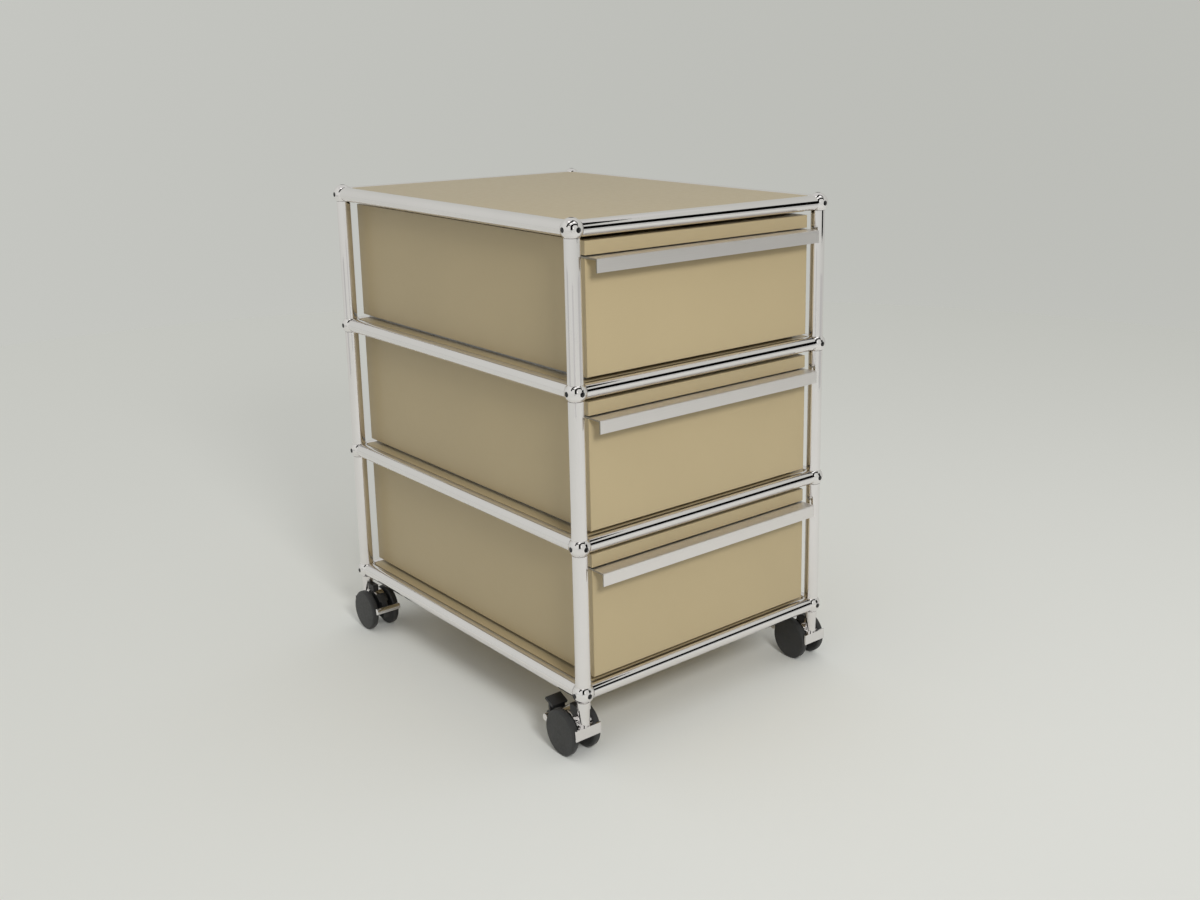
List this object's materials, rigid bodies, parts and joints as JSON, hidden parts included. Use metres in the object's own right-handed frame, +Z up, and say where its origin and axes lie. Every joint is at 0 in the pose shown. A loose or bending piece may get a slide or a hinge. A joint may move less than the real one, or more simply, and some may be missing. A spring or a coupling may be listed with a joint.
{
  "type": "mobile pedestal",
  "caption": "Mobile drawer pedestal of chrome tubes and ball connectors with sheet-steel panels, drawers with full-width lip handles, and swivel casters.",
  "frame": {"origin": "on the floor, under the middle of the whole object's plan", "axes": "+Z up, -Y towards the drawers' fronts, +X to the right when looking along +Y"},
  "size_m": [0.412, 0.5312, 0.6121],
  "materials": {
    "chrome_ball": "polished",
    "chrome_tube": "polished",
    "chrome_casting": "polished",
    "painted_panel": "fine powder coat",
    "painted_drawer": "fine powder coat",
    "satin_steel": "satin",
    "zinc_steel": "zinc plated",
    "white_nylon": "matt",
    "black_plastic": "matt"
  },
  "bodies": {
    "root": {"balls_level_1": "chrome_ball", "rails_level_1": "chrome_tube", "panel_level_1": "painted_panel", "balls_level_2": "chrome_ball", "rails_level_2": "chrome_tube", "panel_level_2": "painted_panel", "balls_level_3": "chrome_ball", "rails_level_3": "chrome_tube", "panel_level_3": "painted_panel", "balls_level_4": "chrome_ball", "rails_level_4": "chrome_tube", "panel_level_4": "painted_panel", "posts_bay_1": "chrome_tube", "posts_bay_2": "chrome_tube", "posts_bay_3": "chrome_tube", "tube_connectors": "zinc_steel", "caster_studs": "chrome_casting", "drawer_1_cabinet_rails": "zinc_steel", "drawer_2_cabinet_rails": "zinc_steel", "drawer_3_cabinet_rails": "zinc_steel"},
    "drawer_1": {"drawer_1_box": "painted_drawer", "drawer_1_front": "painted_drawer", "drawer_1_handle": "satin_steel", "drawer_1_rails": "zinc_steel", "drawer_1_screws": "zinc_steel"},
    "drawer_1_front_rollers": {"drawer_1_front_rollers": "white_nylon"},
    "drawer_1_rear_rollers": {"drawer_1_rear_rollers": "white_nylon"},
    "drawer_2": {"drawer_2_box": "painted_drawer", "drawer_2_front": "painted_drawer", "drawer_2_handle": "satin_steel", "drawer_2_rails": "zinc_steel", "drawer_2_screws": "zinc_steel"},
    "drawer_2_front_rollers": {"drawer_2_front_rollers": "white_nylon"},
    "drawer_2_rear_rollers": {"drawer_2_rear_rollers": "white_nylon"},
    "drawer_3": {"drawer_3_box": "painted_drawer", "drawer_3_front": "painted_drawer", "drawer_3_handle": "satin_steel", "drawer_3_rails": "zinc_steel", "drawer_3_screws": "zinc_steel"},
    "drawer_3_front_rollers": {"drawer_3_front_rollers": "white_nylon"},
    "drawer_3_rear_rollers": {"drawer_3_rear_rollers": "white_nylon"},
    "caster_front_left": {"caster_front_left_housing": "chrome_casting", "caster_front_left_axle": "zinc_steel"},
    "caster_front_left_left_wheel": {"caster_front_left_left_wheel": "black_plastic"},
    "caster_front_left_right_wheel": {"caster_front_left_right_wheel": "black_plastic"},
    "caster_front_left_brake_lever": {"caster_front_left_brake_lever": "black_plastic"},
    "caster_front_right": {"caster_front_right_housing": "chrome_casting", "caster_front_right_axle": "zinc_steel"},
    "caster_front_right_left_wheel": {"caster_front_right_left_wheel": "black_plastic"},
    "caster_front_right_right_wheel": {"caster_front_right_right_wheel": "black_plastic"},
    "caster_front_right_brake_lever": {"caster_front_right_brake_lever": "black_plastic"},
    "caster_rear_left": {"caster_rear_left_housing": "chrome_casting", "caster_rear_left_axle": "zinc_steel"},
    "caster_rear_left_left_wheel": {"caster_rear_left_left_wheel": "black_plastic"},
    "caster_rear_left_right_wheel": {"caster_rear_left_right_wheel": "black_plastic"},
    "caster_rear_right": {"caster_rear_right_housing": "chrome_casting", "caster_rear_right_axle": "zinc_steel"},
    "caster_rear_right_left_wheel": {"caster_rear_right_left_wheel": "black_plastic"},
    "caster_rear_right_right_wheel": {"caster_rear_right_right_wheel": "black_plastic"}
  },
  "joints": [
    {"name": "drawer_1_slide", "type": "slide", "parent": "root", "child": "drawer_1", "axis": [0, -1, 0], "range_m": [0, 0.37]},
    {"name": "drawer_1_front_roller_spin", "type": "hinge", "parent": "root", "child": "drawer_1_front_rollers", "pos_m": [0, -0.21857, 0.4461], "axis": [1, 0, 0], "continuous": true},
    {"name": "drawer_1_rear_roller_spin", "type": "hinge", "parent": "drawer_1", "child": "drawer_1_rear_rollers", "pos_m": [0, 0.23743, 0.4435], "axis": [1, 0, 0], "continuous": true},
    {"name": "drawer_2_slide", "type": "slide", "parent": "root", "child": "drawer_2", "axis": [0, -1, 0], "range_m": [0, 0.37]},
    {"name": "drawer_2_front_roller_spin", "type": "hinge", "parent": "root", "child": "drawer_2_front_rollers", "pos_m": [0, -0.21857, 0.2721], "axis": [1, 0, 0], "continuous": true},
    {"name": "drawer_2_rear_roller_spin", "type": "hinge", "parent": "drawer_2", "child": "drawer_2_rear_rollers", "pos_m": [0, 0.23743, 0.2695], "axis": [1, 0, 0], "continuous": true},
    {"name": "drawer_3_slide", "type": "slide", "parent": "root", "child": "drawer_3", "axis": [0, -1, 0], "range_m": [0, 0.37]},
    {"name": "drawer_3_front_roller_spin", "type": "hinge", "parent": "root", "child": "drawer_3_front_rollers", "pos_m": [0, -0.21857, 0.0981], "axis": [1, 0, 0], "continuous": true},
    {"name": "drawer_3_rear_roller_spin", "type": "hinge", "parent": "drawer_3", "child": "drawer_3_rear_rollers", "pos_m": [0, 0.23743, 0.0955], "axis": [1, 0, 0], "continuous": true},
    {"name": "caster_front_left_swivel", "type": "hinge", "parent": "root", "child": "caster_front_left", "pos_m": [-0.1855, -0.24657, 0.05], "axis": [0, 0, 1], "continuous": true},
    {"name": "caster_front_left_left_spin", "type": "hinge", "parent": "caster_front_left", "child": "caster_front_left_left_wheel", "pos_m": [-0.1855, -0.22557, 0.027], "axis": [1, 0, 0], "continuous": true},
    {"name": "caster_front_left_right_spin", "type": "hinge", "parent": "caster_front_left", "child": "caster_front_left_right_wheel", "pos_m": [-0.1855, -0.22557, 0.027], "axis": [1, 0, 0], "continuous": true},
    {"name": "caster_front_left_brake", "type": "hinge", "parent": "caster_front_left", "child": "caster_front_left_brake_lever", "pos_m": [-0.1855, -0.19427, 0.03365], "axis": [-1, 0, 0], "range_deg": [0, 30]},
    {"name": "caster_front_right_swivel", "type": "hinge", "parent": "root", "child": "caster_front_right", "pos_m": [0.1855, -0.24657, 0.05], "axis": [0, 0, 1], "continuous": true},
    {"name": "caster_front_right_left_spin", "type": "hinge", "parent": "caster_front_right", "child": "caster_front_right_left_wheel", "pos_m": [0.1855, -0.22557, 0.027], "axis": [1, 0, 0], "continuous": true},
    {"name": "caster_front_right_right_spin", "type": "hinge", "parent": "caster_front_right", "child": "caster_front_right_right_wheel", "pos_m": [0.1855, -0.22557, 0.027], "axis": [1, 0, 0], "continuous": true},
    {"name": "caster_front_right_brake", "type": "hinge", "parent": "caster_front_right", "child": "caster_front_right_brake_lever", "pos_m": [0.1855, -0.19427, 0.03365], "axis": [-1, 0, 0], "range_deg": [0, 30]},
    {"name": "caster_rear_left_swivel", "type": "hinge", "parent": "root", "child": "caster_rear_left", "pos_m": [-0.1855, 0.25343, 0.05], "axis": [0, 0, 1], "continuous": true},
    {"name": "caster_rear_left_left_spin", "type": "hinge", "parent": "caster_rear_left", "child": "caster_rear_left_left_wheel", "pos_m": [-0.1855, 0.23243, 0.027], "axis": [1, 0, 0], "continuous": true},
    {"name": "caster_rear_left_right_spin", "type": "hinge", "parent": "caster_rear_left", "child": "caster_rear_left_right_wheel", "pos_m": [-0.1855, 0.23243, 0.027], "axis": [1, 0, 0], "continuous": true},
    {"name": "caster_rear_right_swivel", "type": "hinge", "parent": "root", "child": "caster_rear_right", "pos_m": [0.1855, 0.25343, 0.05], "axis": [0, 0, 1], "continuous": true},
    {"name": "caster_rear_right_left_spin", "type": "hinge", "parent": "caster_rear_right", "child": "caster_rear_right_left_wheel", "pos_m": [0.1855, 0.23243, 0.027], "axis": [1, 0, 0], "continuous": true},
    {"name": "caster_rear_right_right_spin", "type": "hinge", "parent": "caster_rear_right", "child": "caster_rear_right_right_wheel", "pos_m": [0.1855, 0.23243, 0.027], "axis": [1, 0, 0], "continuous": true}
  ],
  "couplings": [
    {"joint": "drawer_1_front_roller_spin", "follows": "drawer_1_slide", "rad_per_m": 125},
    {"joint": "drawer_1_rear_roller_spin", "follows": "drawer_1_slide", "rad_per_m": 125},
    {"joint": "drawer_2_front_roller_spin", "follows": "drawer_2_slide", "rad_per_m": 125},
    {"joint": "drawer_2_rear_roller_spin", "follows": "drawer_2_slide", "rad_per_m": 125},
    {"joint": "drawer_3_front_roller_spin", "follows": "drawer_3_slide", "rad_per_m": 125},
    {"joint": "drawer_3_rear_roller_spin", "follows": "drawer_3_slide", "rad_per_m": 125}
  ]
}
